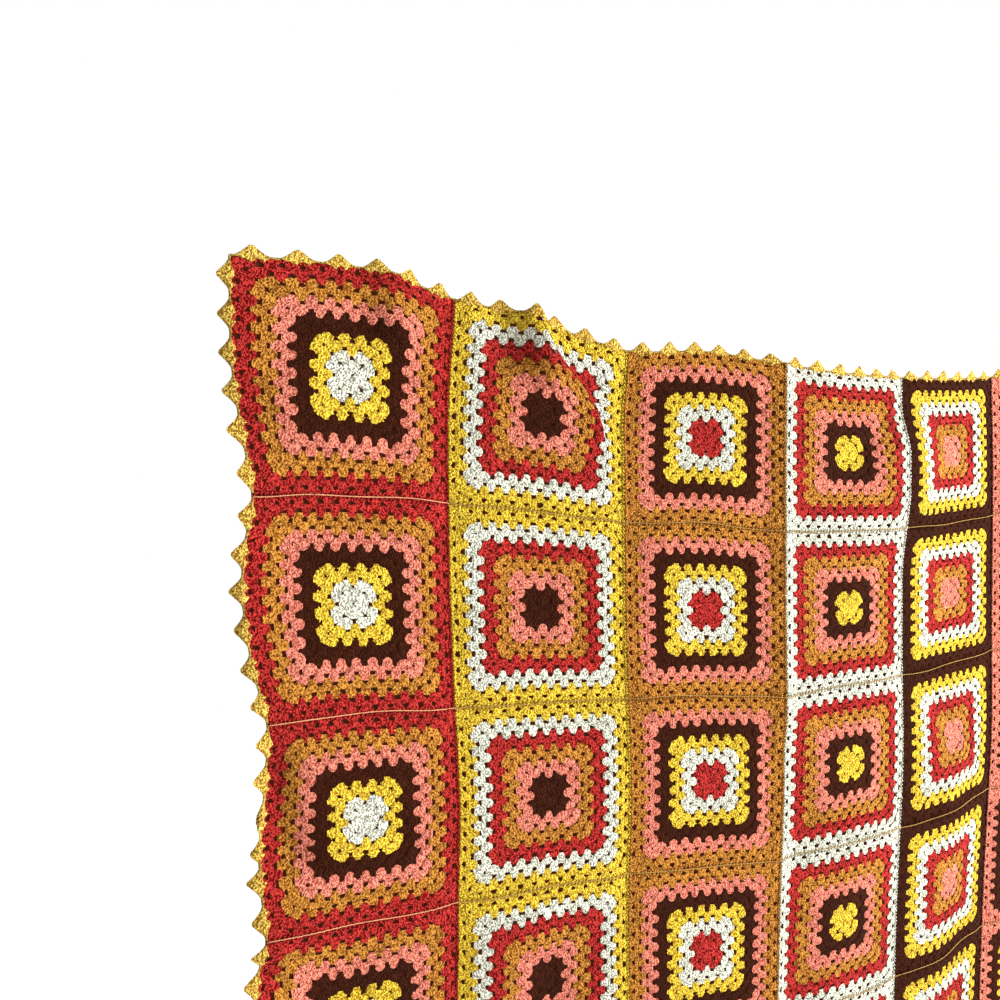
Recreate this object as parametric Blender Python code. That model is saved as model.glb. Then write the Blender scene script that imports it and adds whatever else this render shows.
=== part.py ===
"""Granny square blanket, hung by its top edge: 36 crocheted squares and a pointed shell edging.

Metres, +Z up. The front faces -Y. The origin is the middle of the top edge, where the blanket is held up.
A place on the cloth is given by two distances: across, from the left edge, and down, from the top edge.
"""
from math import atan2, copysign, cos, exp, hypot, pi, radians, sin, sqrt

import bmesh
import bpy
from mathutils import Vector

# Sizes of the flat blanket
SQUARE = 0.26           # side of one granny square
COLUMNS = 6
ROWS = 6
CELLS = 6               # cells along a square's side, each as wide as two clusters
CELL = SQUARE / CELLS
ROUNDS = 12             # rounds of clusters from a square's centre to its edge
MIDDLE_RING = 0.87      # the ring in the middle and the corner chains, in rounds
ROUND = SQUARE / 2 / (ROUNDS + MIDDLE_RING)
WIDTH = COLUMNS * SQUARE
LENGTH = ROWS * SQUARE
HALF = SQUARE / 2
THICKNESS = 0.004       # of the crochet
GAP = 0.0003            # left between two joined pieces

# One gap between clusters is cut on each side of a square, over a cluster of the fifth round.
GAP_ROUND = 5
GAP_REACH = 0.20        # how far the gap's middle lies past that round's heads, in rounds
GAP_ASIDE = 2           # half clusters from the middle of the side
GAP_SIZE = 0.0052

# Along the blanket's outer sides an eyelet lies between every other pair of the last round's clusters.
EYELET_WIDTH = 0.0080
EYELET_HEIGHT = 0.0050
EYELET_INSIDE = 0.0081  # from the square's edge to the eyelet's middle
EYELET_PITCH = 4 * ROUND

# Pointed shells of the edging, one to a cell
POINT_HEIGHT = 0.014
POINT_FLAT = 0.003      # width of a point's blunt tip
VALLEY = 0.002          # height of the edging between two points

# How the cloth hangs across its width, a row for each half square from the left edge
ACROSS = (
    # lift at the top, lift lower down, depth
    (0.062, 0.069, -0.030),
    (0.073, 0.054, -0.001),
    (0.054, 0.042, 0.017),
    (0.037, 0.037, 0.021),
    (0.006, 0.030, 0.014),
    (0.012, 0.025, 0.004),
    (0.001, 0.015, -0.008),
    (-0.007, 0.021, -0.016),
    (-0.003, 0.022, -0.008),
    (0.004, 0.030, 0.006),
    (0.018, 0.038, 0.016),
    (0.040, 0.050, 0.006),
    (0.052, 0.064, -0.018),
)
LOWER_DOWN = 0.60       # where the lower lift holds in full

# How it hangs down its length, a row for each half square from the top edge
DOWN = (
    # sway to the right, depth
    (0.000, -0.002),
    (-0.011, -0.012),
    (-0.011, -0.012),
    (-0.007, -0.008),
    (0.001, -0.002),
    (0.010, 0.004),
    (0.010, 0.010),
    (0.011, 0.018),
    (0.012, 0.024),
    (0.010, 0.027),
    (0.007, 0.027),
    (0.004, 0.024),
    (0.002, 0.020),
)

# How the left edge wanders, a row for each quarter square from the top edge
QUARTER = SQUARE / 4
LEFT_EDGE = (
    # drawn in, let down
    (-0.018, 0.000),
    (-0.012, 0.001),
    (-0.004, 0.001),
    (0.006, 0.000),
    (0.016, 0.006),
    (0.005, 0.006),
    (0.003, 0.004),
    (0.010, 0.008),
    (0.021, 0.007),
    (0.016, 0.012),
    (0.006, 0.010),
    (0.005, -0.007),
    (0.012, -0.004),
    (0.001, -0.021),
    (0.001, -0.001),
    (0.008, 0.004),
    (0.013, 0.000),
    (0.006, -0.004),
    (0.003, 0.002),
    (0.009, 0.004),
    (0.014, 0.000),
    (0.007, -0.003),
    (0.004, 0.002),
    (0.006, 0.002),
    (0.010, 0.000),
)
LEFT_REACH = 0.07       # how far in from the edge that is felt

# Lopsided swells of the cloth towards the front, each with one steep side
SWELLS = (
    # across, down, height, gentle reach, steep side's crest, its foot, its direction in degrees
    (1.040, 0.180, 0.016, 0.170, 0.060, 0.120, 130.0),
    (0.560, 0.980, 0.010, 0.200, 0.080, 0.150, 210.0),
)

# A steep fold in the second square of the top row, along its crest from the top edge down
FOLD = (
    # across, down, drop, pushed out before the crest, drawn in beyond it, which way in degrees
    (0.372, -0.025, 0.006, 0.001, 0.004, 10.0),
    (0.371, 0.016, 0.011, 0.002, 0.007, 10.0),
    (0.394, 0.048, 0.016, 0.001, 0.009, 25.0),
    (0.428, 0.064, 0.016, -0.006, 0.009, 45.0),
    (0.449, 0.080, 0.016, -0.006, 0.008, 40.0),
    (0.460, 0.104, 0.016, 0.003, 0.006, 20.0),
    (0.470, 0.132, 0.012, 0.006, 0.004, 10.0),
    (0.482, 0.170, 0.000, 0.000, 0.000, 10.0),
)
FOLD_RISE = 0.160       # how far before the crest the cloth starts to rise
FOLD_STEP = 0.024       # width of the steep side, on the flat cloth
FOLD_PUSHED = 0.070     # how far before the crest the push is felt
FOLD_DRAWN = 0.075      # how far beyond the steep side the pull is felt

# Soft troughs and ridges, each along a straight line
CREASES = (
    # from across, down, to across, down, height to the front, half width
    (0.165, -0.03, 0.185, 0.06, 0.018, 0.030),
    (0.315, -0.03, 0.335, 0.06, -0.010, 0.026),
    (0.362, -0.03, 0.395, 0.07, 0.018, 0.030),
    (0.00, 0.58, 0.03, 0.68, -0.022, 0.034),
    (-0.01, 0.30, 0.00, 0.40, 0.010, 0.040),
    (0.78, 0.62, 0.82, 1.10, -0.010, 0.050),
    (0.33, 0.86, 0.36, 1.50, 0.012, 0.060),
    (1.16, 0.70, 1.12, 1.50, 0.014, 0.070),
)

# Valleys along the seams between columns
SEAM_DEPTHS = (0.006, 0.004, -0.009, 0.004, 0.006)
SEAM_HALF_WIDTH = 0.022

# A little slack in the seams
SAGS = (
    # across, down, let down, reach
    (0.130, 0.260, 0.007, 0.090),
    (0.520, 0.260, -0.006, 0.100),
)

CURL_DOWN = 0.638       # middle of the place where the left edging is turned to the back
CURL_REACH = 0.036      # how far up and down that goes
CURL_INSIDE = 0.004     # how much of the edging stays in front
CURL = 0.90             # how much of the rest is turned to the back

SLOPE_STEP = 0.0026     # distance over which the cloth's slope is read

POINT_LEAN = 0.30       # how far points lean to the front or back, as a share of their height
LEAN_WAVE = 0.31        # length of cloth over which the lean comes and goes

# Yarn colours, and the order in which the bands follow each other
YARNS = {
    "white": (0.83, 0.82, 0.76),
    "yellow": (0.87, 0.60, 0.02),
    "brown": (0.045, 0.013, 0.007),
    "pink": (0.87, 0.22, 0.14),
    "mustard": (0.56, 0.24, 0.02),
    "red": (0.56, 0.015, 0.015),
    "gold": (0.76, 0.44, 0.07),
}
COLUMN_OUTER_BANDS = ("red", "yellow", "mustard", "white", "brown", "pink")
YARN_ROUGHNESS = 0.85


def clamp(value, low, high):
    return min(max(value, low), high)


def ease(share):
    """Smooth rise from 0 to 1."""
    share = clamp(share, 0.0, 1.0)
    return share * share * (3.0 - 2.0 * share)


def along(values, distance, step=HALF):
    """Smooth curve through values that lie a step apart."""
    last = len(values) - 1
    place = clamp(distance / step, 0.0, last)
    k = min(int(place), last - 1)
    t = place - k
    before, start, end, after = (values[clamp(k + n, 0, last)] for n in (-1, 0, 1, 2))
    return start + 0.5 * t * (end - before + t * (2 * before - 5 * start + 4 * end - after
                                                  + t * (3 * (start - end) + after - before)))


def swell(across, down, row):
    """Height to the front that one swell adds."""
    at_across, at_down, height, reach, crest, foot, direction = row
    aside = across - at_across
    above = at_down - down
    steepness = max(0.0, cos(atan2(above, aside) - radians(direction)))
    starts = crest * steepness
    ends = reach + (foot - reach) * steepness
    return height * (1.0 - ease((hypot(aside, above) - starts) / (ends - starts)))


def crease(across, down, row):
    """Height to the front that one soft ridge or trough adds."""
    from_across, from_down, to_across, to_down, height, half_width = row
    run = Vector((to_across - from_across, to_down - from_down))
    place = Vector((across - from_across, down - from_down))
    share = clamp(place.dot(run) / run.length_squared, 0.0, 1.0)
    return height * exp(-((place - run * share).length / half_width) ** 2)


def fold(across, down):
    """Height to the front, and slides to the right and up, that the steep fold adds."""
    beyond = None
    for start, end in zip(FOLD, FOLD[1:]):
        run = Vector(end[:2]) - Vector(start[:2])
        place = Vector((across - start[0], down - start[1]))
        share = clamp(place.dot(run) / run.length_squared, 0.0, 1.0)
        off = place - run * share
        if beyond is None or off.length < abs(beyond):
            beyond = copysign(off.length, off.x * run.y - off.y * run.x)
            drop, pushed, drawn, turn = (a + (b - a) * share for a, b in zip(start[2:], end[2:]))
    if beyond < 0.0:
        rise = drop * (1.0 - ease(-beyond / FOLD_RISE))
        slide = pushed * (1.0 - ease(-beyond / FOLD_PUSHED))
    else:
        step = ease(beyond / FOLD_STEP)
        rise = drop * (1.0 - step)
        slide = (pushed - (drawn + pushed) * step) * (1.0 - ease((beyond - FOLD_STEP) / FOLD_DRAWN))
    return rise, slide * cos(radians(turn)), slide * sin(radians(turn))


def surface(across, down):
    """The point on the middle of the cloth's thickness."""
    lower = ease(down / LOWER_DOWN)
    lift_top = along([row[0] for row in ACROSS], across)
    lift_low = along([row[1] for row in ACROSS], across)
    depth = along([row[2] for row in ACROSS], across) + along([row[1] for row in DOWN], down)
    near_left = exp(-(max(across, 0.0) / LEFT_REACH) ** 2)
    drawn_in = along([row[0] for row in LEFT_EDGE], down, QUARTER) * near_left
    let_down = along([row[1] for row in LEFT_EDGE], down, QUARTER) * near_left
    rise, slide_right, slide_up = fold(across, down)
    depth -= rise + sum(swell(across, down, row) for row in SWELLS)
    depth -= sum(crease(across, down, row) for row in CREASES)
    for number, seam_depth in enumerate(SEAM_DEPTHS):
        aside = across - (number + 1) * SQUARE
        depth += seam_depth * exp(-(aside / SEAM_HALF_WIDTH) ** 2)
    outside = max(-across, across - WIDTH, -down, down - LENGTH, 0.0)
    depth += outside * POINT_LEAN * sin(2 * pi * (across + down) / LEAN_WAVE)
    for at_across, at_down, sag, reach in SAGS:
        let_down += sag * exp(-((across - at_across) ** 2 + (down - at_down) ** 2) / reach ** 2)
    curl = max(-across - CURL_INSIDE, 0.0) * CURL * exp(-((down - CURL_DOWN) / CURL_REACH) ** 4)
    depth += curl
    x = across - WIDTH / 2 + along([row[0] for row in DOWN], down) + drawn_in + slide_right + curl
    z = -down + lift_top + (lift_low - lift_top) * lower - let_down + slide_up
    return Vector((x, depth, z))


def facing(across, down):
    """The way the cloth's front faces there."""
    step = SLOPE_STEP
    right = surface(across + step, down) - surface(across - step, down)
    lower = surface(across, down + step) - surface(across, down - step)
    return lower.cross(right).normalized()


class Slab:
    """A closed sheet of the cloth's thickness, drawn flat and laid on the hung surface."""

    def __init__(self):
        self.mesh = bmesh.new()
        self.pairs = {}
        self.edges = set()

    def corner(self, place):
        """Front and back vertices over one place on the flat cloth."""
        key = (round(place[0] * 1e6), round(place[1] * 1e6))
        if key not in self.pairs:
            middle = surface(*place)
            half = facing(*place) * THICKNESS / 2
            self.pairs[key] = (self.mesh.verts.new(middle + half), self.mesh.verts.new(middle - half))
        return key

    def face(self, places):
        """One flat face, its places listed clockwise as seen from the front."""
        keys = [self.corner(place) for place in places]
        self.mesh.faces.new([self.pairs[key][0] for key in reversed(keys)])
        self.mesh.faces.new([self.pairs[key][1] for key in keys])
        for start, end in zip(keys, keys[1:] + keys[:1]):
            self.edges.add((start, end))

    def holed_face(self, outline, hole):
        """A face round a hole; the hole's places face the outline's places one for one."""
        count = len(outline)
        for k in range(count):
            following = (k + 1) % count
            self.face((outline[k], outline[following], hole[following]))
            self.face((outline[k], hole[following], hole[k]))

    def close(self):
        """Walls along every edge that only one face uses."""
        for start, end in sorted(self.edges):
            if (end, start) not in self.edges:
                front_start, back_start = self.pairs[start]
                front_end, back_end = self.pairs[end]
                self.mesh.faces.new((front_start, front_end, back_end, back_start))

    def add_object(self, name, yarn):
        self.close()
        bmesh.ops.triangulate(self.mesh, faces=self.mesh.faces)
        data = bpy.data.meshes.new(name)
        self.mesh.to_mesh(data)
        self.mesh.free()
        thing = bpy.data.objects.new(name, data)
        bpy.context.scene.collection.objects.link(thing)
        data.materials.append(yarn_material(yarn))


def yarn_material(yarn):
    """A matt wool-like finish in one yarn colour."""
    material = bpy.data.materials.get(yarn)
    if material is None:
        material = bpy.data.materials.new(yarn)
        material.use_nodes = True
        shader = material.node_tree.nodes["Principled BSDF"]
        shader.inputs["Base Color"].default_value = (*YARNS[yarn], 1.0)
        shader.inputs["Roughness"].default_value = YARN_ROUGHNESS
        shader.inputs["Metallic"].default_value = 0.0
    return material


def hole(across, down, width, height):
    """A cut opening's corners, clockwise as seen from the front."""
    wide, high = width / 2, height / 2
    return ((across - wide, down - high), (across + wide, down - high),
            (across + wide, down + high), (across - wide, down + high))


def cut_openings(column, row):
    """The openings cut through a square, their places taken from its centre."""
    reach = (GAP_ROUND + MIDDLE_RING + GAP_REACH) * ROUND
    aside = GAP_ASIDE * ROUND
    openings = [hole(across, down, GAP_SIZE, GAP_SIZE)
                for across, down in ((aside, -reach), (reach, aside), (-aside, reach), (-reach, -aside))]
    edge = HALF - EYELET_INSIDE
    for number in range(CELLS):
        place = (number - (CELLS - 1) / 2) * EYELET_PITCH
        if row == 0:
            openings.append(hole(place, -edge, EYELET_WIDTH, EYELET_HEIGHT))
        if row == ROWS - 1:
            openings.append(hole(place, edge, EYELET_WIDTH, EYELET_HEIGHT))
        if column == 0:
            openings.append(hole(-edge, place, EYELET_HEIGHT, EYELET_WIDTH))
        if column == COLUMNS - 1:
            openings.append(hole(edge, place, EYELET_HEIGHT, EYELET_WIDTH))
    return openings


def turned_to_face(outline, opening):
    """The opening's corners, starting from the one that faces the outline's first place."""
    def distance(first):
        return sum(hypot(outline[k][0] - opening[(k + first) % 4][0], outline[k][1] - opening[(k + first) % 4][1])
                   for k in range(4))
    first = min(range(4), key=distance)
    return opening[first:] + opening[:first]


def add_square(column, row):
    """One granny square, with its largest gaps and its eyelets cut through."""
    slab = Slab()
    middle = ((column + 0.5) * SQUARE, (row + 0.5) * SQUARE)
    left, top = middle[0] - HALF, middle[1] - HALF
    cut = {}
    for opening in cut_openings(column, row):
        across = sum(place[0] for place in opening) / 4
        down = sum(place[1] for place in opening) / 4
        cell = (int((across + HALF) // CELL), int((down + HALF) // CELL))
        cut.setdefault(cell, []).append(tuple((middle[0] + x, middle[1] + y) for x, y in opening))

    def line(number):
        """Distance of a grid line from the square's own edge, drawn in by half the gap at both ends."""
        return clamp(number * CELL, GAP / 2, SQUARE - GAP / 2)

    for i in range(CELLS):
        for j in range(CELLS):
            x0, x1 = left + line(i), left + line(i + 1)
            y0, y1 = top + line(j), top + line(j + 1)
            outline = ((x0, y0), (x1, y0), (x1, y1), (x0, y1))
            openings = cut.get((i, j), ())
            if not openings:
                slab.face(outline)
            elif len(openings) == 1:
                slab.holed_face(outline, turned_to_face(outline, openings[0]))
            else:
                # the blanket's corner: halved from the outer corner to the inner one
                outer = {(0, 0): 0, (CELLS - 1, 0): 1, (CELLS - 1, CELLS - 1): 2, (0, CELLS - 1): 3}[(i, j)]
                a, b, c, d = outline[outer:] + outline[:outer]
                centre = ((x0 + x1) / 2, (y0 + y1) / 2)
                for half in ((a, b, c, centre), (a, centre, c, d)):
                    inside = min(openings, key=lambda opening: sum(
                        hypot(place[0] - half_place[0], place[1] - half_place[1])
                        for place in opening for half_place in half))
                    slab.holed_face(half, turned_to_face(half, inside))
    slab.add_object(f"square_c{column + 1}_r{row + 1}", COLUMN_OUTER_BANDS[column])


def add_edging(side):
    """The run of pointed shells along one side."""
    slab = Slab()
    run = LENGTH if side in ("left", "right") else WIDTH
    count = round(run / CELL)

    def place(distance, reach):
        """A place from its distance along the side, walked clockwise, and its reach out of the blanket."""
        if side == "top":
            return (distance, -reach)
        if side == "right":
            return (WIDTH + reach, distance)
        if side == "bottom":
            return (WIDTH - distance, LENGTH + reach)
        return (-reach, LENGTH - distance)

    def joint(number, reach):
        """Distance of the joint before a point; the run's two ends are mitred at the blanket's corners."""
        mitre = GAP / sqrt(2) - reach
        return {0: mitre, count: run - mitre}.get(number, number * CELL)

    base = GAP / 2
    for number in range(count):
        middle = (number + 0.5) * CELL
        slab.face((place(joint(number, base), base),
                   place(joint(number, VALLEY), VALLEY),
                   place(middle - POINT_FLAT / 2, POINT_HEIGHT),
                   place(middle + POINT_FLAT / 2, POINT_HEIGHT),
                   place(joint(number + 1, VALLEY), VALLEY),
                   place(joint(number + 1, base), base)))
    slab.add_object(f"edging_{side}", "gold")


def build():
    for thing in list(bpy.data.objects):
        bpy.data.objects.remove(thing, do_unlink=True)
    for column in range(COLUMNS):
        for row in range(ROWS):
            add_square(column, row)
    for side in ("top", "right", "bottom", "left"):
        add_edging(side)


build()
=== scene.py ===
from math import pi, radians

import bmesh
import bpy
import numpy as np
from mathutils import Matrix, Vector


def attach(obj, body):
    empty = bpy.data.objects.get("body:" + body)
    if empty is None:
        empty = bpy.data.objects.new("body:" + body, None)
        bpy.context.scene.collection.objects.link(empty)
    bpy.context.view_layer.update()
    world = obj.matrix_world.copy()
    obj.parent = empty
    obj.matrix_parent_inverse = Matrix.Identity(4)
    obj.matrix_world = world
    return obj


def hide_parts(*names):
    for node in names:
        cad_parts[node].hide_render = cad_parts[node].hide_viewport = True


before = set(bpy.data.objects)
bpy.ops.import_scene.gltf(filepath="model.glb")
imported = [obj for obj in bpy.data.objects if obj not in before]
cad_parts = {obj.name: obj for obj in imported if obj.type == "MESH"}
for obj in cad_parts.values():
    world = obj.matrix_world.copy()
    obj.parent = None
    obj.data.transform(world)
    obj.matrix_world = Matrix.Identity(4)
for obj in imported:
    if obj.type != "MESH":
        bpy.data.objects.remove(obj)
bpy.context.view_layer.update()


# ---- Granny squares ----
# Thirty-six squares, each crocheted in twelve rounds of three-post clusters from its centre outwards,
# two rounds to a yarn colour. The yarn is a soft worsted wool-like acrylic. Joined edge to edge they
# hang in the blanket's own folds, which every piece below is laid on.

SQUARE = 0.26
HALF = SQUARE / 2
COLUMNS = 6
ROWS = 6
WIDTH = COLUMNS * SQUARE
LENGTH = ROWS * SQUARE

# how the cloth hangs, a row for each half square from the left edge
ACROSS = np.array((
    # lift at the top, lift lower down, depth
    (0.062, 0.069, -0.030),
    (0.073, 0.054, -0.001),
    (0.054, 0.042, 0.017),
    (0.037, 0.037, 0.021),
    (0.006, 0.030, 0.014),
    (0.012, 0.025, 0.004),
    (0.001, 0.015, -0.008),
    (-0.007, 0.021, -0.016),
    (-0.003, 0.022, -0.008),
    (0.004, 0.030, 0.006),
    (0.018, 0.038, 0.016),
    (0.040, 0.050, 0.006),
    (0.052, 0.064, -0.018),
))
LOWER_DOWN = 0.60       # from here down the lower lift holds in full

# a row for each half square from the top edge
DOWN = np.array((
    # sway to the right, depth
    (0.000, -0.002),
    (-0.011, -0.012),
    (-0.011, -0.012),
    (-0.007, -0.008),
    (0.001, -0.002),
    (0.010, 0.004),
    (0.010, 0.010),
    (0.011, 0.018),
    (0.012, 0.024),
    (0.010, 0.027),
    (0.007, 0.027),
    (0.004, 0.024),
    (0.002, 0.020),
))

# how the left edge wanders, a row for each quarter square from the top edge
QUARTER = SQUARE / 4
LEFT_EDGE = np.array((
    # drawn in, let down
    (-0.018, 0.000),
    (-0.012, 0.001),
    (-0.004, 0.001),
    (0.006, 0.000),
    (0.016, 0.006),
    (0.005, 0.006),
    (0.003, 0.004),
    (0.010, 0.008),
    (0.021, 0.007),
    (0.016, 0.012),
    (0.006, 0.010),
    (0.005, -0.007),
    (0.012, -0.004),
    (0.001, -0.021),
    (0.001, -0.001),
    (0.008, 0.004),
    (0.013, 0.000),
    (0.006, -0.004),
    (0.003, 0.002),
    (0.009, 0.004),
    (0.014, 0.000),
    (0.007, -0.003),
    (0.004, 0.002),
    (0.006, 0.002),
    (0.010, 0.000),
))
LEFT_REACH = 0.07       # how far in from the edge that is felt

# soft swells with one steep side
SWELLS = (
    # across, down, height, gentle reach, steep side's crest, its foot, its direction in degrees
    (1.040, 0.180, 0.016, 0.170, 0.060, 0.120, 130.0),
    (0.560, 0.980, 0.010, 0.200, 0.080, 0.150, 210.0),
)

# a steep fold in the second square of the top row, along its crest from the top edge down
FOLD = np.array((
    # across, down, drop, pushed out before the crest, drawn in beyond it, which way in degrees
    (0.372, -0.025, 0.006, 0.001, 0.004, 10.0),
    (0.371, 0.016, 0.011, 0.002, 0.007, 10.0),
    (0.394, 0.048, 0.016, 0.001, 0.009, 25.0),
    (0.428, 0.064, 0.016, -0.006, 0.009, 45.0),
    (0.449, 0.080, 0.016, -0.006, 0.008, 40.0),
    (0.460, 0.104, 0.016, 0.003, 0.006, 20.0),
    (0.470, 0.132, 0.012, 0.006, 0.004, 10.0),
    (0.482, 0.170, 0.000, 0.000, 0.000, 10.0),
))
FOLD_RISE = 0.160       # how far before the crest the cloth starts to rise
FOLD_STEP = 0.024       # width of the steep side
FOLD_PUSHED = 0.070     # how far before the crest the push is felt
FOLD_DRAWN = 0.075      # how far beyond the steep side the pull is felt
FAR = 9.0               # further off than any crest

# a little slack in the cloth
SAGS = (
    # across, down, let down, reach
    (0.130, 0.260, 0.007, 0.090),
    (0.520, 0.260, -0.006, 0.100),
)

# soft troughs and ridges
CREASES = (
    # from across, down, to across, down, height to the front, half width
    (0.165, -0.03, 0.185, 0.06, 0.018, 0.030),
    (0.315, -0.03, 0.335, 0.06, -0.010, 0.026),
    (0.362, -0.03, 0.395, 0.07, 0.018, 0.030),
    (0.00, 0.58, 0.03, 0.68, -0.022, 0.034),
    (-0.01, 0.30, 0.00, 0.40, 0.010, 0.040),
    (0.78, 0.62, 0.82, 1.10, -0.010, 0.050),
    (0.33, 0.86, 0.36, 1.50, 0.012, 0.060),
    (1.16, 0.70, 1.12, 1.50, 0.014, 0.070),
)
SEAM_DEPTHS = (0.006, 0.004, -0.009, 0.004, 0.006)     # valleys along the seams between columns
SEAM_HALF_WIDTH = 0.022
CURL_DOWN = 0.638       # middle of the place where the left edging is turned to the back
CURL_REACH = 0.036      # how far up and down that goes
CURL_INSIDE = 0.004     # how much of the edging stays in front
CURL = 0.90             # how much of the rest is turned
SLOPE_STEP = 0.0026     # over which the way the cloth faces is measured
POINT_LEAN = 0.30       # how much the edging leans to the front and back in turns
LEAN_WAVE = 0.31        # from one turn to the front to the next


def ease(share):
    """Goes from 0 to 1 with a soft start and end."""
    share = np.clip(share, 0.0, 1.0)
    return share * share * (3.0 - 2.0 * share)


def along(values, distance, step=HALF):
    """A smooth curve through values that lie one step apart."""
    last = len(values) - 1
    place = np.clip(distance / step, 0.0, last)
    k = np.minimum(place.astype(int), last - 1)
    t = place - k
    before, start, end, after = (values[np.clip(k + n, 0, last)] for n in (-1, 0, 1, 2))
    bend = 2 * before - 5 * start + 4 * end - after + t * (3 * (start - end) + after - before)
    return start + 0.5 * t * (end - before + t * bend)


def fold(across, down):
    """Height to the front, and slides to the right and up, that the steep fold adds."""
    nearest = np.full(across.shape, FAR)
    side = np.zeros(across.shape)
    drop, pushed, drawn, turn = (np.zeros(across.shape) for _ in range(4))
    for start, end in zip(FOLD[:-1], FOLD[1:]):
        run = end[:2] - start[:2]
        share = np.clip(((across - start[0]) * run[0] + (down - start[1]) * run[1]) / run.dot(run), 0.0, 1.0)
        off_x = across - start[0] - run[0] * share
        off_y = down - start[1] - run[1] * share
        off = np.hypot(off_x, off_y)
        near = off < nearest
        nearest = np.where(near, off, nearest)
        side = np.where(near, np.sign(off_x * run[1] - off_y * run[0]), side)
        drop, pushed, drawn, turn = (np.where(near, start[k] + (end[k] - start[k]) * share, old)
                                     for k, old in ((2, drop), (3, pushed), (4, drawn), (5, turn)))
    beyond = nearest * side
    step = ease(beyond / FOLD_STEP)
    before = beyond < 0.0
    rise = drop * np.where(before, 1.0 - ease(-beyond / FOLD_RISE), 1.0 - step)
    after = (pushed - (drawn + pushed) * step) * (1.0 - ease((beyond - FOLD_STEP) / FOLD_DRAWN))
    slide = np.where(before, pushed * (1.0 - ease(-beyond / FOLD_PUSHED)), after)
    return rise, slide * np.cos(np.radians(turn)), slide * np.sin(np.radians(turn))


def hung(across, down):
    """Points on the middle of the hung cloth, for places on the flat one."""
    lower = ease(down / LOWER_DOWN)
    lift_top = along(ACROSS[:, 0], across)
    lift_low = along(ACROSS[:, 1], across)
    depth = along(ACROSS[:, 2], across) + along(DOWN[:, 1], down)
    near_left = np.exp(-(np.maximum(across, 0.0) / LEFT_REACH) ** 2)
    drawn_in = along(LEFT_EDGE[:, 0], down, QUARTER) * near_left
    let_down = along(LEFT_EDGE[:, 1], down, QUARTER) * near_left
    rise, slide_right, slide_up = fold(across, down)
    depth = depth - rise
    for at_across, at_down, height, reach, crest, foot, direction in SWELLS:
        aside = across - at_across
        above = at_down - down
        steepness = np.maximum(0.0, np.cos(np.arctan2(above, aside) - radians(direction)))
        starts = crest * steepness
        ends = reach + (foot - reach) * steepness
        depth = depth - height * (1.0 - ease((np.hypot(aside, above) - starts) / (ends - starts)))
    for from_across, from_down, to_across, to_down, height, half_width in CREASES:
        run = np.array((to_across - from_across, to_down - from_down))
        share = ((across - from_across) * run[0] + (down - from_down) * run[1]) / run.dot(run)
        share = np.clip(share, 0.0, 1.0)
        off = np.hypot(across - from_across - run[0] * share, down - from_down - run[1] * share)
        depth = depth - height * np.exp(-(off / half_width) ** 2)
    for number, seam_depth in enumerate(SEAM_DEPTHS):
        depth = depth + seam_depth * np.exp(-((across - (number + 1) * SQUARE) / SEAM_HALF_WIDTH) ** 2)
    outside = np.maximum.reduce([-across, across - WIDTH, -down, down - LENGTH, np.zeros_like(across)])
    depth = depth + outside * POINT_LEAN * np.sin(2 * pi * (across + down) / LEAN_WAVE)
    for at_across, at_down, sag, reach in SAGS:
        let_down = let_down + sag * np.exp(-((across - at_across) ** 2 + (down - at_down) ** 2) / reach ** 2)
    curl = np.maximum(-across - CURL_INSIDE, 0.0) * CURL * np.exp(-((down - CURL_DOWN) / CURL_REACH) ** 4)
    depth = depth + curl
    x = across - WIDTH / 2 + along(DOWN[:, 0], down) + drawn_in + slide_right + curl
    z = -down + lift_top + (lift_low - lift_top) * lower - let_down + slide_up
    return np.stack((x, depth, z), axis=1)


def hang(mesh, flat):
    """Lays a mesh on the hung cloth. flat holds a row for each vertex: across, down, height to the front."""
    across, down, height = flat[:, 0], flat[:, 1], flat[:, 2]
    right = hung(across + SLOPE_STEP, down) - hung(across - SLOPE_STEP, down)
    lower = hung(across, down + SLOPE_STEP) - hung(across, down - SLOPE_STEP)
    facing = np.cross(lower, right)
    facing /= np.linalg.norm(facing, axis=1)[:, None]
    places = hung(across, down) + facing * height[:, None]
    mesh.vertices.foreach_set("co", places.ravel())
    mesh.update()


# the yarn's look, in turns of a strand and shares of the relief
STRANDS = 1.3           # for each unit of the stitch UV
SLANT = 2.0             # from a post's middle to its side
WAVER = 2.0
WAVER_SCALE = 150.0
FUZZ = 4.6
FUZZ_SCALE = 390.0
FUZZ_RELIEF = 0.6
GROOVE = 2.4            # how narrow the groove between two posts is
STRAND_SHARE = 0.70
POST_SHARE = 0.40
BUMP_DEPTH = 0.0016
BRIGHTEN = 1.05
PATCHES = 0.25          # how much the tone drifts over the cloth
PATCH_SCALE = 9.0


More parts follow.
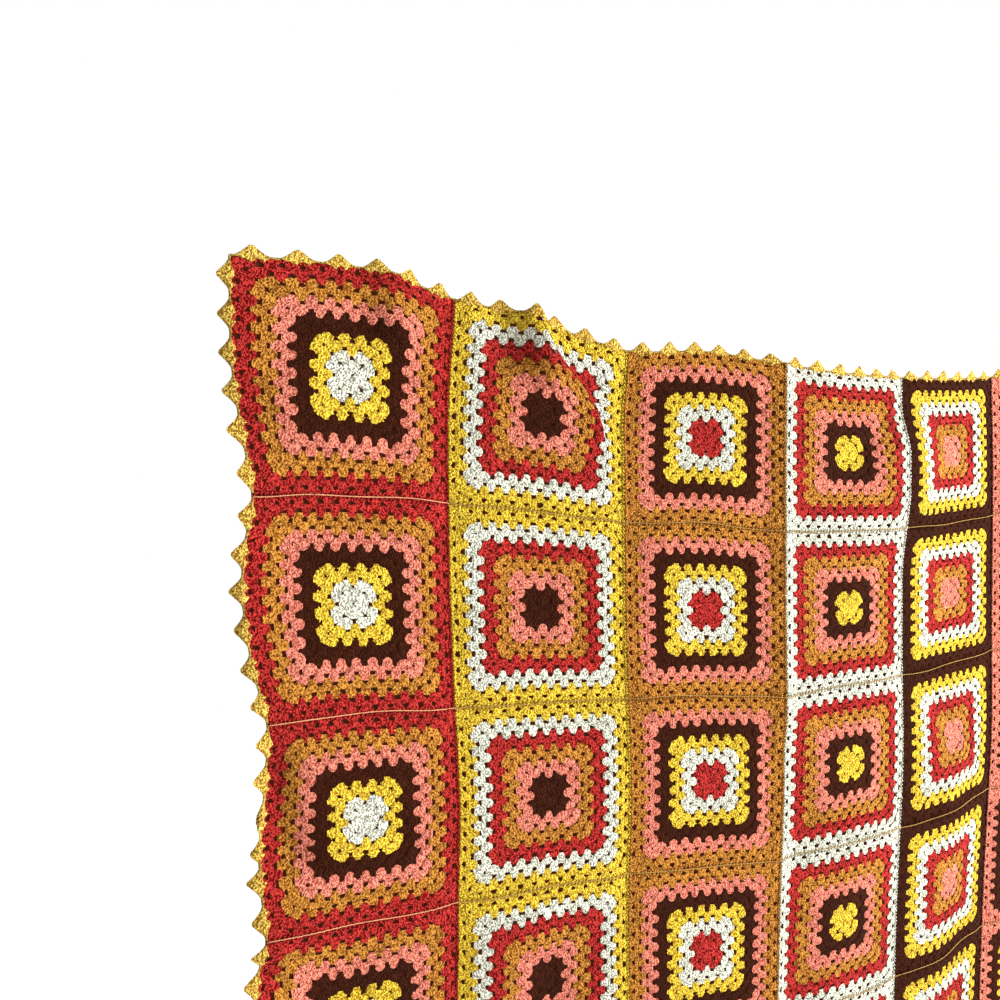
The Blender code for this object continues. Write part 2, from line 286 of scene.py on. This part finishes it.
def yarn(name, colour, groove_shade, fuzz=FUZZ):
    """Matt plied yarn: slanted strands down each post, a groove between them, and a little fuzz. The colour
    carries painted shade, darker in the grooves between strands and at the sides of each post.
    """
    made = bpy.data.materials.new(name)
    made.use_nodes = True
    nodes = made.node_tree.nodes
    links = made.node_tree.links
    shader = nodes["Principled BSDF"]
    shader.inputs["Roughness"].default_value = 0.90
    shader.inputs["Specular IOR Level"].default_value = 0.04

    def put(operation, first, second=None):
        node = nodes.new("ShaderNodeMath")
        node.operation = operation
        for socket, value in zip(node.inputs, (first, second)):
            if value is None:
                continue
            if isinstance(value, float):
                socket.default_value = value
            else:
                links.new(value, socket)
        return node.outputs[0]

    def noise(scale, detail):
        node = nodes.new("ShaderNodeTexNoise")
        node.inputs["Scale"].default_value = scale
        node.inputs["Detail"].default_value = detail
        links.new(place.outputs["Object"], node.inputs["Vector"])
        return node.outputs["Fac"]

    place = nodes.new("ShaderNodeTexCoord")
    uv = nodes.new("ShaderNodeUVMap")
    uv.uv_map = "stitch"
    split = nodes.new("ShaderNodeSeparateXYZ")
    links.new(uv.outputs["UV"], split.inputs[0])
    aside = put("ABSOLUTE", put("SUBTRACT", put("FRACT", split.outputs["X"]), 0.5))
    turn = put("ADD", put("MULTIPLY", split.outputs["Y"], STRANDS), put("MULTIPLY", aside, SLANT))
    turn = put("ADD", turn, put("MULTIPLY", noise(WAVER_SCALE, 0.0), WAVER))
    strands = put("ADD", put("MULTIPLY", put("SINE", put("MULTIPLY", turn, 2 * pi)), 0.5), 0.5)
    post = put("SUBTRACT", 1.0, put("POWER", put("MULTIPLY", aside, 2.0), GROOVE))
    fleck = put("MULTIPLY", put("SUBTRACT", noise(FUZZ_SCALE, 0.0), 0.5), fuzz)
    relief = put("MULTIPLY", put("ADD", put("MULTIPLY", strands, STRAND_SHARE), 1.0 - STRAND_SHARE),
                 put("ADD", put("MULTIPLY", post, POST_SHARE), 1.0 - POST_SHARE))
    height = put("ADD", relief, put("MULTIPLY", fleck, FUZZ_RELIEF))
    bump = nodes.new("ShaderNodeBump")
    bump.inputs["Strength"].default_value = 1.0
    bump.inputs["Distance"].default_value = BUMP_DEPTH
    links.new(height, bump.inputs["Height"])
    links.new(bump.outputs["Normal"], shader.inputs["Normal"])

    # painted shade: the same relief that bumps the strands also darkens the colour towards the shaded colour,
    # in the grooves between strands and between posts
    light = put("ADD", put("MULTIPLY", relief, BRIGHTEN), fleck)
    mix = nodes.new("ShaderNodeMix")
    mix.data_type = "RGBA"
    mix.inputs["A"].default_value = (*groove_shade, 1.0)
    mix.inputs["B"].default_value = (*colour, 1.0)
    links.new(light, mix.inputs["Factor"])
    tone = nodes.new("ShaderNodeHueSaturation")
    links.new(mix.outputs["Result"], tone.inputs["Color"])
    shade = nodes.new("ShaderNodeAttribute")
    shade.attribute_name = "shade"
    drift = put("MULTIPLY", put("SUBTRACT", noise(PATCH_SCALE, 1.0), 0.5), PATCHES)
    value = put("ADD", shade.outputs["Fac"], drift)
    links.new(value, tone.inputs["Value"])
    links.new(tone.outputs["Color"], shader.inputs["Base Color"])
    return made


YARNS = {
    # colour of the strands, painted shade deep between them
    "white": yarn("yarn_white", (0.74, 0.71, 0.57), (0.28, 0.26, 0.19)),
    "yellow": yarn("yarn_yellow", (0.73, 0.505, 0.044), (0.33, 0.172, 0.010)),
    "brown": yarn("yarn_brown", (0.040, 0.0085, 0.0026), (0.026, 0.0050, 0.0016)),
    "pink": yarn("yarn_pink", (0.71, 0.225, 0.150), (0.36, 0.068, 0.042)),
    "mustard": yarn("yarn_mustard", (0.53, 0.218, 0.034), (0.19, 0.055, 0.007)),
    "red": yarn("yarn_red", (0.46, 0.031, 0.025), (0.135, 0.0032, 0.0026)),
    "gold": yarn("yarn_gold", (0.76, 0.50, 0.095), (0.32, 0.14, 0.014)),
    "thread": yarn("seam_thread", (0.86, 0.40, 0.20), (0.66, 0.25, 0.11), 1.0),
    "dull_thread": yarn("seam_thread_dull", (0.52, 0.29, 0.085), (0.36, 0.17, 0.040), 1.0),
}
BANDS = (
    # colours from the centre outwards, two rounds each, for each column
    ("white", "yellow", "brown", "pink", "mustard", "red"),
    ("brown", "pink", "mustard", "red", "white", "yellow"),
    ("red", "white", "yellow", "brown", "pink", "mustard"),
    ("yellow", "brown", "pink", "mustard", "red", "white"),
    ("pink", "mustard", "red", "white", "yellow", "brown"),
    ("mustard", "red", "white", "yellow", "brown", "pink"),
)

ROUNDS = 12
MIDDLE_RING = 0.87      # the ring in the middle and the corner chains, in rounds
ROUND = HALF / (ROUNDS + MIDDLE_RING)
PITCH = 2 * ROUND       # from one cluster to the next
POSTS = 3
STRIPS = 4              # faces across a cluster
SWELL = (0.0, 0.90, 1.0, 0.90, 0.0)                     # share of the thickness across a cluster
TIP_ROUNDING = (0.22, 0.04, 0.0, 0.04, 0.22)            # in rounds
HEAD_ROUNDING = (0.36, 0.0, 0.0, 0.0, 0.36)
CLUSTER_MIDDLE = 0.8    # how far in from its head a cluster's middle lies, in rounds

# Outlines of clusters in rounds, from the middle of the head, and heights in metres. Each row gives
# the left edge across and out, the right edge across and out, the middle of the thickness and half of it.
# MIDDLE ones make the first round. CORNER ones end a side, LAST_CORNER ones in the last round, where
# EDGE ones lie along a seam and OUTER ones under the edging.
PLAIN = (
    (-0.46, -1.60, 0.46, -1.60, 0.0014, 0.0000),
    (-0.62, -1.22, 0.62, -1.22, 0.0009, 0.0009),
    (-0.64, -0.70, 0.64, -0.70, 0.0003, 0.0010),
    (-1.24, -0.24, 1.24, -0.24, 0.0002, 0.0010),
    (-1.24, 0.00, 1.24, 0.00, 0.0006, 0.0000),
)
CORNER = (
    (-0.34, -1.56, 0.76, -1.16, 0.0014, 0.0000),
    (-0.78, -1.32, 0.82, -0.98, 0.0009, 0.0009),
    (-1.08, -0.92, 0.80, -0.68, 0.0003, 0.0010),
    (-1.20, -0.42, 1.24, -0.23, 0.0002, 0.0010),
    (-1.06, 0.00, 1.24, 0.00, 0.0006, 0.0000),
)
LAST_CORNER = (
    (-0.34, -1.56, 0.76, -1.16, 0.0014, 0.0000),
    (-0.78, -1.32, 0.82, -0.98, 0.0009, 0.0008),
    (-1.20, -0.90, 0.80, -0.68, 0.0003, 0.0009),
    (-1.56, -0.48, 1.24, -0.23, 0.0002, 0.0009),
    (-1.86, -0.04, 1.24, 0.00, 0.0006, 0.0000),
)
EDGE = (
    (-0.46, -1.60, 0.46, -1.60, 0.0014, 0.0000),
    (-0.62, -1.22, 0.62, -1.22, 0.0009, 0.0008),
    (-0.64, -0.70, 0.64, -0.70, 0.0003, 0.0009),
    (-1.24, -0.24, 1.24, -0.24, 0.0002, 0.0009),
    (-1.50, 0.00, 1.50, 0.00, 0.0006, 0.0000),
)
OUTER = (
    (-0.54, -1.62, 0.54, -1.62, 0.0014, 0.0000),
    (-0.72, -1.24, 0.72, -1.24, 0.0009, 0.0008),
    (-0.74, -0.66, 0.74, -0.66, 0.0003, 0.0009),
    (-1.24, -0.24, 1.24, -0.24, 0.0002, 0.0009),
    (-1.24, 0.00, 1.24, 0.00, 0.0006, 0.0000),
)
MIDDLE = (
    (-0.30, -1.80, 0.30, -1.80, 0.0006, 0.0000),
    (-0.70, -1.36, 0.70, -1.36, 0.0005, 0.0008),
    (-1.02, -0.84, 1.02, -0.84, 0.0003, 0.0009),
    (-1.26, -0.46, 1.26, -0.46, 0.0002, 0.0009),
    (-1.08, 0.00, 1.08, 0.00, 0.0006, 0.0000),
)


POST_UNITS = 4          # of the stitch UV along a post
TOUCHING = 1e-6         # vertices closer than this are one


def stitched(name, columns, rows, posts, place):
    """A closed pad of posts side by side. place gives a grid vertex's spot, middle height and bulge."""
    pad = bmesh.new()
    bmesh.ops.create_grid(pad, x_segments=columns, y_segments=rows, size=1.0)
    stitch = pad.loops.layers.uv.new("stitch")
    for face in pad.faces:
        face.smooth = True
        for corner in face.loops:
            corner[stitch].uv = ((corner.vert.co.x + 1) / 2 * posts, (corner.vert.co.y + 1) / 2 * POST_UNITS)
    back = bmesh.ops.duplicate(pad, geom=pad.verts[:] + pad.edges[:] + pad.faces[:])["geom"]
    back_verts = {part for part in back if isinstance(part, bmesh.types.BMVert)}
    bmesh.ops.reverse_faces(pad, faces=[part for part in back if isinstance(part, bmesh.types.BMFace)])
    for vert in pad.verts:
        column = round((vert.co.x + 1) / 2 * columns)
        row = round((vert.co.y + 1) / 2 * rows)
        x, y, middle, bulge = place(column, row)
        vert.co = (x, y, middle - bulge if vert in back_verts else middle + bulge)
    bmesh.ops.remove_doubles(pad, verts=pad.verts, dist=TOUCHING)
    bmesh.ops.recalc_face_normals(pad, faces=pad.faces)
    pad.normal_update()
    for edge in pad.edges:
        one, other = edge.link_faces
        edge.smooth = one.normal.z * other.normal.z > 0
    mesh = bpy.data.meshes.new(name)
    pad.to_mesh(mesh)
    pad.free()
    return mesh


def cluster(name, rows):
    """One cluster of posts, its head's middle at the origin."""
    def place(column, row):
        left_across, left_out, right_across, right_out, middle, half = rows[row]
        share = column / STRIPS
        out = left_out + (right_out - left_out) * share
        if row == 0:
            out += TIP_ROUNDING[column]
        elif row == len(rows) - 1:
            out -= HEAD_ROUNDING[column]
        x = (left_across + (right_across - left_across) * share) * ROUND
        return x, out * ROUND, middle, half * SWELL[column]
    return stitched(name, STRIPS, len(rows) - 1, POSTS, place)


plain_cluster = cluster("plain_cluster", PLAIN)
corner_cluster = cluster("corner_cluster", CORNER)
edge_cluster = cluster("edge_cluster", EDGE)
outer_cluster = cluster("outer_cluster", OUTER)
middle_cluster = cluster("middle_cluster", MIDDLE)
last_corner_cluster = cluster("last_corner_cluster", LAST_CORNER)

EYELET_INSIDE = 0.0081  # from the square's edge to an eyelet's middle
EYELET_REACH = 0.0095   # how far round an eyelet the pull is felt
EYELET_PULL = 0.0028
EYELET_PULL_LEFT = 0.0014    # in the first column
SIDES = range(4)        # top, right, bottom, left
LEFT = 3
LOOPS = 44              # of the ribbed seam, to a side
LOOP_SIZE = (0.0056, 0.0024, 0.0030)
LOOP_INSIDE = 0.0016
LOOP_FRONT = 0.0006
LOOP_SLANT = radians(38.0)
OUTER_BAND = 5
loop_shape = bmesh.new()
stitch = loop_shape.loops.layers.uv.new("stitch")
bmesh.ops.create_cube(loop_shape, size=1.0)
for face in loop_shape.faces:
    face.smooth = True
    for corner in face.loops:
        corner[stitch].uv = (corner.vert.co.x + 0.5, corner.vert.co.y + 0.5)
loop_mesh = bpy.data.meshes.new("loop")
loop_shape.to_mesh(loop_mesh)
loop_shape.free()


def flat_places(mesh):
    """A mesh's vertices, a row for each."""
    places = np.empty(len(mesh.vertices) * 3)
    mesh.vertices.foreach_get("co", places)
    return places.reshape(-1, 3)


def flat_square(ribbed_sides):
    """A flat square and the middles of its clusters. Sides are numbered clockwise from the top one."""
    square = bmesh.new()
    number = square.verts.layers.int.new("cluster")
    middles = []

    def add(source, place, band, middle):
        verts = len(square.verts)
        faces = len(square.faces)
        square.from_mesh(source)
        square.verts.ensure_lookup_table()
        square.faces.ensure_lookup_table()
        bmesh.ops.transform(square, matrix=place, verts=square.verts[verts:])
        if place.determinant() < 0:
            bmesh.ops.reverse_faces(square, faces=square.faces[faces:])
        for vert in square.verts[verts:]:
            vert[number] = len(middles)
        for face in square.faces[faces:]:
            face.material_index = band
        middles.append((place @ Vector(middle))[:2])

    for side in SIDES:
        turned = Matrix.Rotation(-side * pi / 2, 4, "Z")
        for round_number in range(1, ROUNDS + 1):
            head = (round_number + MIDDLE_RING) * ROUND
            for k in range(round_number):
                place = turned @ Matrix.Translation(((k - (round_number - 1) / 2) * PITCH, head, 0.0))
                last = round_number == ROUNDS
                source = plain_cluster
                if last:
                    source = edge_cluster if side in ribbed_sides else outer_cluster
                if round_number == 1:
                    source = middle_cluster
                elif k in (0, round_number - 1):
                    source = last_corner_cluster if last else corner_cluster
                    if k > 0:
                        place = place @ Matrix.Diagonal((-1.0, 1.0, 1.0, 1.0))
                add(source, place, (round_number - 1) // 2, (0.0, -CLUSTER_MIDDLE * ROUND, 0.0))
        if side in ribbed_sides:
            for k in range(LOOPS):
                spot = ((k + 0.5) * SQUARE / LOOPS - HALF, HALF - LOOP_INSIDE, LOOP_FRONT)
                place = turned @ Matrix.Translation(spot) @ Matrix.Rotation(LOOP_SLANT, 4, "Z")
                add(loop_mesh, place @ Matrix.Diagonal((*LOOP_SIZE, 1.0)), OUTER_BAND, (0.0, 0.0, 0.0))
    # the edging pulls every other gap of the last round open
    pull = EYELET_PULL if LEFT in ribbed_sides else EYELET_PULL_LEFT
    for side in SIDES:
        if side in ribbed_sides:
            continue
        turned = Matrix.Rotation(side * pi / 2, 3, "Z")
        back = turned.inverted()
        for vert in square.verts:
            place = turned @ vert.co
            aside = place.x - (round(place.x / PITCH / 2 - 0.5) + 0.5) * 2 * PITCH
            distance = Vector((aside, place.y - HALF + EYELET_INSIDE)).length
            if distance < EYELET_REACH:
                place.x += (1 if aside > 0 else -1) * pull * (1 - distance / EYELET_REACH)
                vert.co = back @ place
    mesh = bpy.data.meshes.new("flat_square")
    square.to_mesh(mesh)
    square.free()
    return mesh, np.array(middles)


SHIFT = 0.00045         # spread of a cluster's place, turn, size and tone
TURN = radians(3.0)
SIZE_SPREAD = 0.035
TONE_SPREAD = 0.06
OVER_EDGE = 0.0005      # how far a cluster may reach over its square's edge
chance = np.random.default_rng(7)
templates = {}
for column in range(COLUMNS):
    for row in range(ROWS):
        inner = (row > 0, column < COLUMNS - 1, row < ROWS - 1, column > 0)
        ribbed = tuple(side for side in SIDES if inner[side])
        if ribbed not in templates:
            templates[ribbed] = flat_square(ribbed)
        template, middles = templates[ribbed]
        shape = template.copy()
        shape.name = f"granny_square_c{column + 1}_r{row + 1}"
        number = np.empty(len(shape.vertices), dtype=np.int32)
        shape.attributes["cluster"].data.foreach_get("value", number)
        first_corner = np.empty(len(shape.polygons), dtype=np.int32)
        shape.polygons.foreach_get("loop_start", first_corner)
        corner_vertex = np.empty(len(shape.loops), dtype=np.int32)
        shape.loops.foreach_get("vertex_index", corner_vertex)
        shape.attributes.remove(shape.attributes["cluster"])
        places = flat_places(shape)
        count = len(middles)
        shift = (chance.normal(0.0, SHIFT, (count, 3)) * (1.0, 1.0, 0.5))[number]
        turn = chance.normal(0.0, TURN, count)[number]
        size = chance.normal(1.0, SIZE_SPREAD, count)[number]
        aside = places[:, 0] - middles[number, 0]
        above = places[:, 1] - middles[number, 1]
        across = middles[number, 0] + (aside * np.cos(turn) - above * np.sin(turn)) * size + shift[:, 0]
        down = -middles[number, 1] - (aside * np.sin(turn) + above * np.cos(turn)) * size - shift[:, 1]
        across = np.clip(across, -HALF - OVER_EDGE, HALF + OVER_EDGE)
        down = np.clip(down, -HALF - OVER_EDGE, HALF + OVER_EDGE)
        hang(shape, np.stack(((column + 0.5) * SQUARE + across, (row + 0.5) * SQUARE + down,
                              places[:, 2] + shift[:, 2]), axis=1))
        tones = shape.attributes.new("shade", "FLOAT", "FACE")
        tone = chance.normal(1.0, TONE_SPREAD, count)[number[corner_vertex[first_corner]]]
        tones.data.foreach_set("value", tone.astype(np.float32))
        for colour in BANDS[column]:
            shape.materials.append(YARNS[colour])
        square = bpy.data.objects.new(shape.name, shape)
        bpy.context.scene.collection.objects.link(square)
        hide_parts(f"square_c{column + 1}_r{row + 1}")
        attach(square, "root")


# ---- Row seams ----
# The rows are sewn together with one long running thread of gold yarn, which lies in front of each seam
# and dips into it at every stitch. It is brighter in the first column than in the others.
THREAD = 0.0007         # half its thickness
THREAD_STEPS = 300
THREAD_SIDES = 6
THREAD_TWISTS = 260
THREAD_FRONT = 0.0022   # how far it lies before the middle of the cloth
THREAD_DIP = 0.0004
THREAD_WANDERS = (
    # how far up and down, over what length, how far each row is out of step with the one above
    (0.0012, 0.061, 1),
    (0.0009, 0.023, 2),
)
for row in range(1, ROWS):
    shape = bmesh.new()
    stitch = shape.loops.layers.uv.new("stitch")
    bmesh.ops.create_grid(shape, x_segments=THREAD_STEPS, y_segments=THREAD_SIDES, size=1.0)
    for face in shape.faces:
        face.smooth = True
        face.material_index = int((face.calc_center_median().x + 1) / 2 * WIDTH > SQUARE)
        for corner in face.loops:
            corner[stitch].uv = ((corner.vert.co.y + 1) / 2, (corner.vert.co.x + 1) * THREAD_TWISTS)
    mesh = bpy.data.meshes.new(f"seam_thread_r{row}")
    shape.to_mesh(mesh)
    shape.free()
    places = flat_places(mesh)
    across = (places[:, 0] + 1) / 2 * WIDTH
    around = (places[:, 1] + 1) * pi
    wander = sum(far * np.sin(across / length + step * row) for far, length, step in THREAD_WANDERS)
    dip = THREAD_DIP * np.sin(across / (PITCH / 2) * 2 * pi)
    down = row * SQUARE + wander + THREAD * np.cos(around)
    height = THREAD_FRONT + dip + THREAD * np.sin(around)
    hang(mesh, np.stack((across, down, height), axis=1))
    shape = bmesh.new()
    shape.from_mesh(mesh)
    bmesh.ops.remove_doubles(shape, verts=shape.verts, dist=TOUCHING)
    bmesh.ops.holes_fill(shape, edges=[edge for edge in shape.edges if edge.is_boundary], sides=THREAD_SIDES)
    bmesh.ops.recalc_face_normals(shape, faces=shape.faces)
    shape.to_mesh(mesh)
    shape.free()
    tones = mesh.attributes.new("shade", "FLOAT", "FACE")
    tones.data.foreach_set("value", np.ones(len(mesh.polygons), dtype=np.float32))
    mesh.materials.append(YARNS["thread"])
    mesh.materials.append(YARNS["dull_thread"])
    thread = bpy.data.objects.new(mesh.name, mesh)
    bpy.context.scene.collection.objects.link(thread)
    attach(thread, "root")


# ---- Edging ----
# A border of pointed shells in gold yarn. Each is a fan of seven posts worked round an eyelet, into the
# space between two clusters of the last round, and a thin bridge joins it to the next.
POINTS = 6              # to a square's side
CELL = SQUARE / POINTS
FAN = 7
TALL_SPREAD = 0.04
SHELL_TONE_SPREAD = 0.05
SHELL = (
    # inner edge across and out, outer edge across and out, from the middle of the shell, in metres
    (-0.02167, -0.0022, -0.02167, 0.0012),
    (-0.01600, -0.0010, -0.01700, 0.0014),
    (-0.01050, -0.0030, -0.01350, 0.0032),
    (-0.00520, -0.0062, -0.01020, 0.0058),
    (-0.00430, -0.0042, -0.00740, 0.0083),
    (-0.00300, -0.0028, -0.00480, 0.0108),
    (-0.00150, -0.0021, -0.00230, 0.0132),
    (0.00000, -0.0019, 0.00000, 0.0138),
)
ROOT_IN = -0.0040       # a shell's root lies this far out, where it is moved to its eyelet in full
ROOT_OUT = 0.0040       # and from here on it is not moved
EYELET_PITCH = 2 * PITCH
SHELL_DEPTHS = (
    # share of the way out, middle of the thickness, bulge of a post, of a groove
    (0.00, 0.0016, 0.0000, 0.0000),
    (0.25, 0.0012, 0.0016, 0.0009),
    (0.75, 0.0004, 0.0015, 0.0007),
    (1.00, 0.0000, 0.0000, 0.0000),
)


def shell_place(column, row):
    """Where a shell's grid vertex lies; the right half mirrors the left one."""
    turned = column > FAN
    inner_across, inner_out, outer_across, outer_out = SHELL[2 * FAN - column if turned else column]
    share, middle, post, groove = SHELL_DEPTHS[row]
    x = inner_across + (outer_across - inner_across) * share
    rim = column in (0, 2 * FAN)
    out = inner_out + (outer_out - inner_out) * share
    return -x if turned else x, out, middle, 0.0 if rim else post if column % 2 else groove


shell = stitched("shell", 2 * FAN, 3, FAN, shell_place)
for side in ("top", "right", "bottom", "left"):
    run = LENGTH if side in ("left", "right") else WIDTH
    shape = bmesh.new()
    shade = shape.faces.layers.float.new("shade")
    for number in range(round(run / CELL)):
        faces = len(shape.faces)
        verts = len(shape.verts)
        shape.from_mesh(shell)
        shape.verts.ensure_lookup_table()
        shape.faces.ensure_lookup_table()
        tall = 1 + chance.normal(0.0, TALL_SPREAD)
        # an eyelet between two clusters is a little nearer the square's middle than its shell
        aside = ((POINTS - 1) / 2 - number % POINTS) * (CELL - EYELET_PITCH)
        for vert in shape.verts[verts:]:
            share = float(ease((ROOT_OUT - vert.co.y) / (ROOT_OUT - ROOT_IN)))
            vert.co.x += aside * share * (1.0 - float(ease(abs(vert.co.x) / (CELL / 2))))
        place = Matrix.Translation(((number + 0.5) * CELL, 0.0, 0.0)) @ Matrix.Diagonal((1.0, tall, 1.0, 1.0))
        bmesh.ops.transform(shape, matrix=place, verts=shape.verts[verts:])
        tone = 1 + chance.normal(0.0, SHELL_TONE_SPREAD)
        for face in shape.faces[faces:]:
            face[shade] = tone
    mesh = bpy.data.meshes.new(f"pointed_edging_{side}")
    shape.to_mesh(mesh)
    shape.free()
    places = flat_places(mesh)
    distance, reach, height = places[:, 0], places[:, 1], places[:, 2]
    # the run's ends are mitred at the blanket's corners
    distance = np.clip(distance, -reach, run + reach)
    if side == "top":
        flat = (distance, -reach, height)
    elif side == "right":
        flat = (WIDTH + reach, distance, height)
    elif side == "bottom":
        flat = (WIDTH - distance, LENGTH + reach, height)
    else:
        flat = (-reach, LENGTH - distance, height)
    hang(mesh, np.stack(flat, axis=1))
    mesh.materials.append(YARNS["gold"])
    edging = bpy.data.objects.new(mesh.name, mesh)
    bpy.context.scene.collection.objects.link(edging)
    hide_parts(f"edging_{side}")
    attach(edging, "root")


# ---- Studio ----
# A dark backdrop follows the blanket closely from behind, so that it shows through the gaps, and is clear
# from its own back. Its dark colour is painted shade standing in for the shadowed space behind the blanket,
# and its weak glow is painted too. A pale floor lies below, and soft light comes from the right, from a
# little above the blanket's top.
def plain(name, colour, glow, glow_strength, one_sided=False):
    """A matt paint with a weak glow of its own, clear from behind when it is one-sided. The glow keeps the
    floor evenly bright. On the dark backdrop it is a painted glow that fixes the colour of the shade seen
    through the gaps.
    """
    made = bpy.data.materials.new(name)
    made.use_nodes = True
    shader = made.node_tree.nodes["Principled BSDF"]
    shader.inputs["Base Color"].default_value = (*colour, 1.0)
    shader.inputs["Roughness"].default_value = 0.9
    shader.inputs["Specular IOR Level"].default_value = 0.1
    shader.inputs["Emission Color"].default_value = (*glow, 1.0)
    shader.inputs["Emission Strength"].default_value = glow_strength
    if one_sided:
        geometry = made.node_tree.nodes.new("ShaderNodeNewGeometry")
        clear = made.node_tree.nodes.new("ShaderNodeBsdfTransparent")
        either = made.node_tree.nodes.new("ShaderNodeMixShader")
        made.node_tree.links.new(geometry.outputs["Backfacing"], either.inputs[0])
        made.node_tree.links.new(shader.outputs[0], either.inputs[1])
        made.node_tree.links.new(clear.outputs[0], either.inputs[2])
        made.node_tree.links.new(either.outputs[0], made.node_tree.nodes["Material Output"].inputs["Surface"])
    return made


FLOOR = -1.75
FLOOR_REACH = 4.0
BACKDROP_CELLS = 180
BEHIND = 0.0035         # how far the backdrop hangs behind the blanket
PAST = 0.0015           # how far it reaches past the top squares, hidden by the edging
SHORT = 0.0010          # and how far it stays inside the other sides
backdrop_shape = bmesh.new()
bmesh.ops.create_grid(backdrop_shape, x_segments=BACKDROP_CELLS, y_segments=BACKDROP_CELLS, size=1.0)
backdrop_mesh = bpy.data.meshes.new("shade_backdrop")
backdrop_shape.to_mesh(backdrop_mesh)
backdrop_shape.free()
places = flat_places(backdrop_mesh)
hang(backdrop_mesh, np.stack(((places[:, 0] + 1) / 2 * (WIDTH - 2 * SHORT) + SHORT,
                              (1 - places[:, 1]) / 2 * (LENGTH + PAST - SHORT) - PAST,
                              np.full(len(places), -BEHIND)), axis=1))
# painted shade: a dark brown sheet with a weak painted glow, so that the gaps look dark brown whatever light
# falls behind the blanket
backdrop_mesh.materials.append(plain("shade_backdrop", (0.028, 0.006, 0.003), (0.040, 0.009, 0.003), 1.0, True))
gap_shade_sheet = bpy.data.objects.new("shade_backdrop", backdrop_mesh)
bpy.context.scene.collection.objects.link(gap_shade_sheet)
gap_shade_sheet.visible_shadow = False
gap_shade_sheet.visible_diffuse = False
gap_shade_sheet.visible_glossy = False

floor_shape = bmesh.new()
bmesh.ops.create_grid(floor_shape, x_segments=1, y_segments=1, size=FLOOR_REACH)
bmesh.ops.translate(floor_shape, vec=(0.0, 0.0, FLOOR), verts=floor_shape.verts)
floor_mesh = bpy.data.meshes.new("studio_floor")
floor_shape.to_mesh(floor_mesh)
floor_shape.free()
floor_mesh.materials.append(plain("studio_floor", (0.90, 0.90, 0.90), (1.0, 1.0, 1.0), 0.62))
floor = bpy.data.objects.new("studio_floor", floor_mesh)
bpy.context.scene.collection.objects.link(floor)

world = bpy.data.worlds.new("studio")
world.use_nodes = True
backing = world.node_tree.nodes["Background"]
backing.inputs["Color"].default_value = (1.0, 1.0, 1.0, 1.0)
seen = world.node_tree.nodes.new("ShaderNodeLightPath")
level = world.node_tree.nodes.new("ShaderNodeMapRange")
level.inputs["To Min"].default_value = 0.44     # what lights the blanket
level.inputs["To Max"].default_value = 1.0      # what the pale room looks like
world.node_tree.links.new(seen.outputs["Is Camera Ray"], level.inputs["Value"])
world.node_tree.links.new(level.outputs["Result"], backing.inputs["Strength"])
bpy.context.scene.world = world
lamp = bpy.data.lights.new("window", "AREA")
lamp.shape = "SQUARE"
lamp.size = 1.8
lamp.energy = 268.0
lamp.color = (0.96, 1.02, 1.06)
window = bpy.data.objects.new("window", lamp)
window.location = (2.15, -1.95, 0.22)
window.rotation_euler = Vector((-1.9, 1.5, -0.8)).to_track_quat("-Z", "Y").to_euler()
bpy.context.scene.collection.objects.link(window)
bpy.context.scene.view_settings.view_transform = "Standard"

lens = bpy.data.cameras.new("camera")
lens.lens = 27.0
lens.sensor_width = 36.0
lens.clip_start = 0.05
lens.clip_end = 50.0
camera = bpy.data.objects.new("camera", lens)
camera.location = (-0.840, -0.905, -0.207)
camera.rotation_euler = (radians(90.0), 0.0, radians(-22.6))
bpy.context.scene.collection.objects.link(camera)
bpy.context.scene.camera = camera
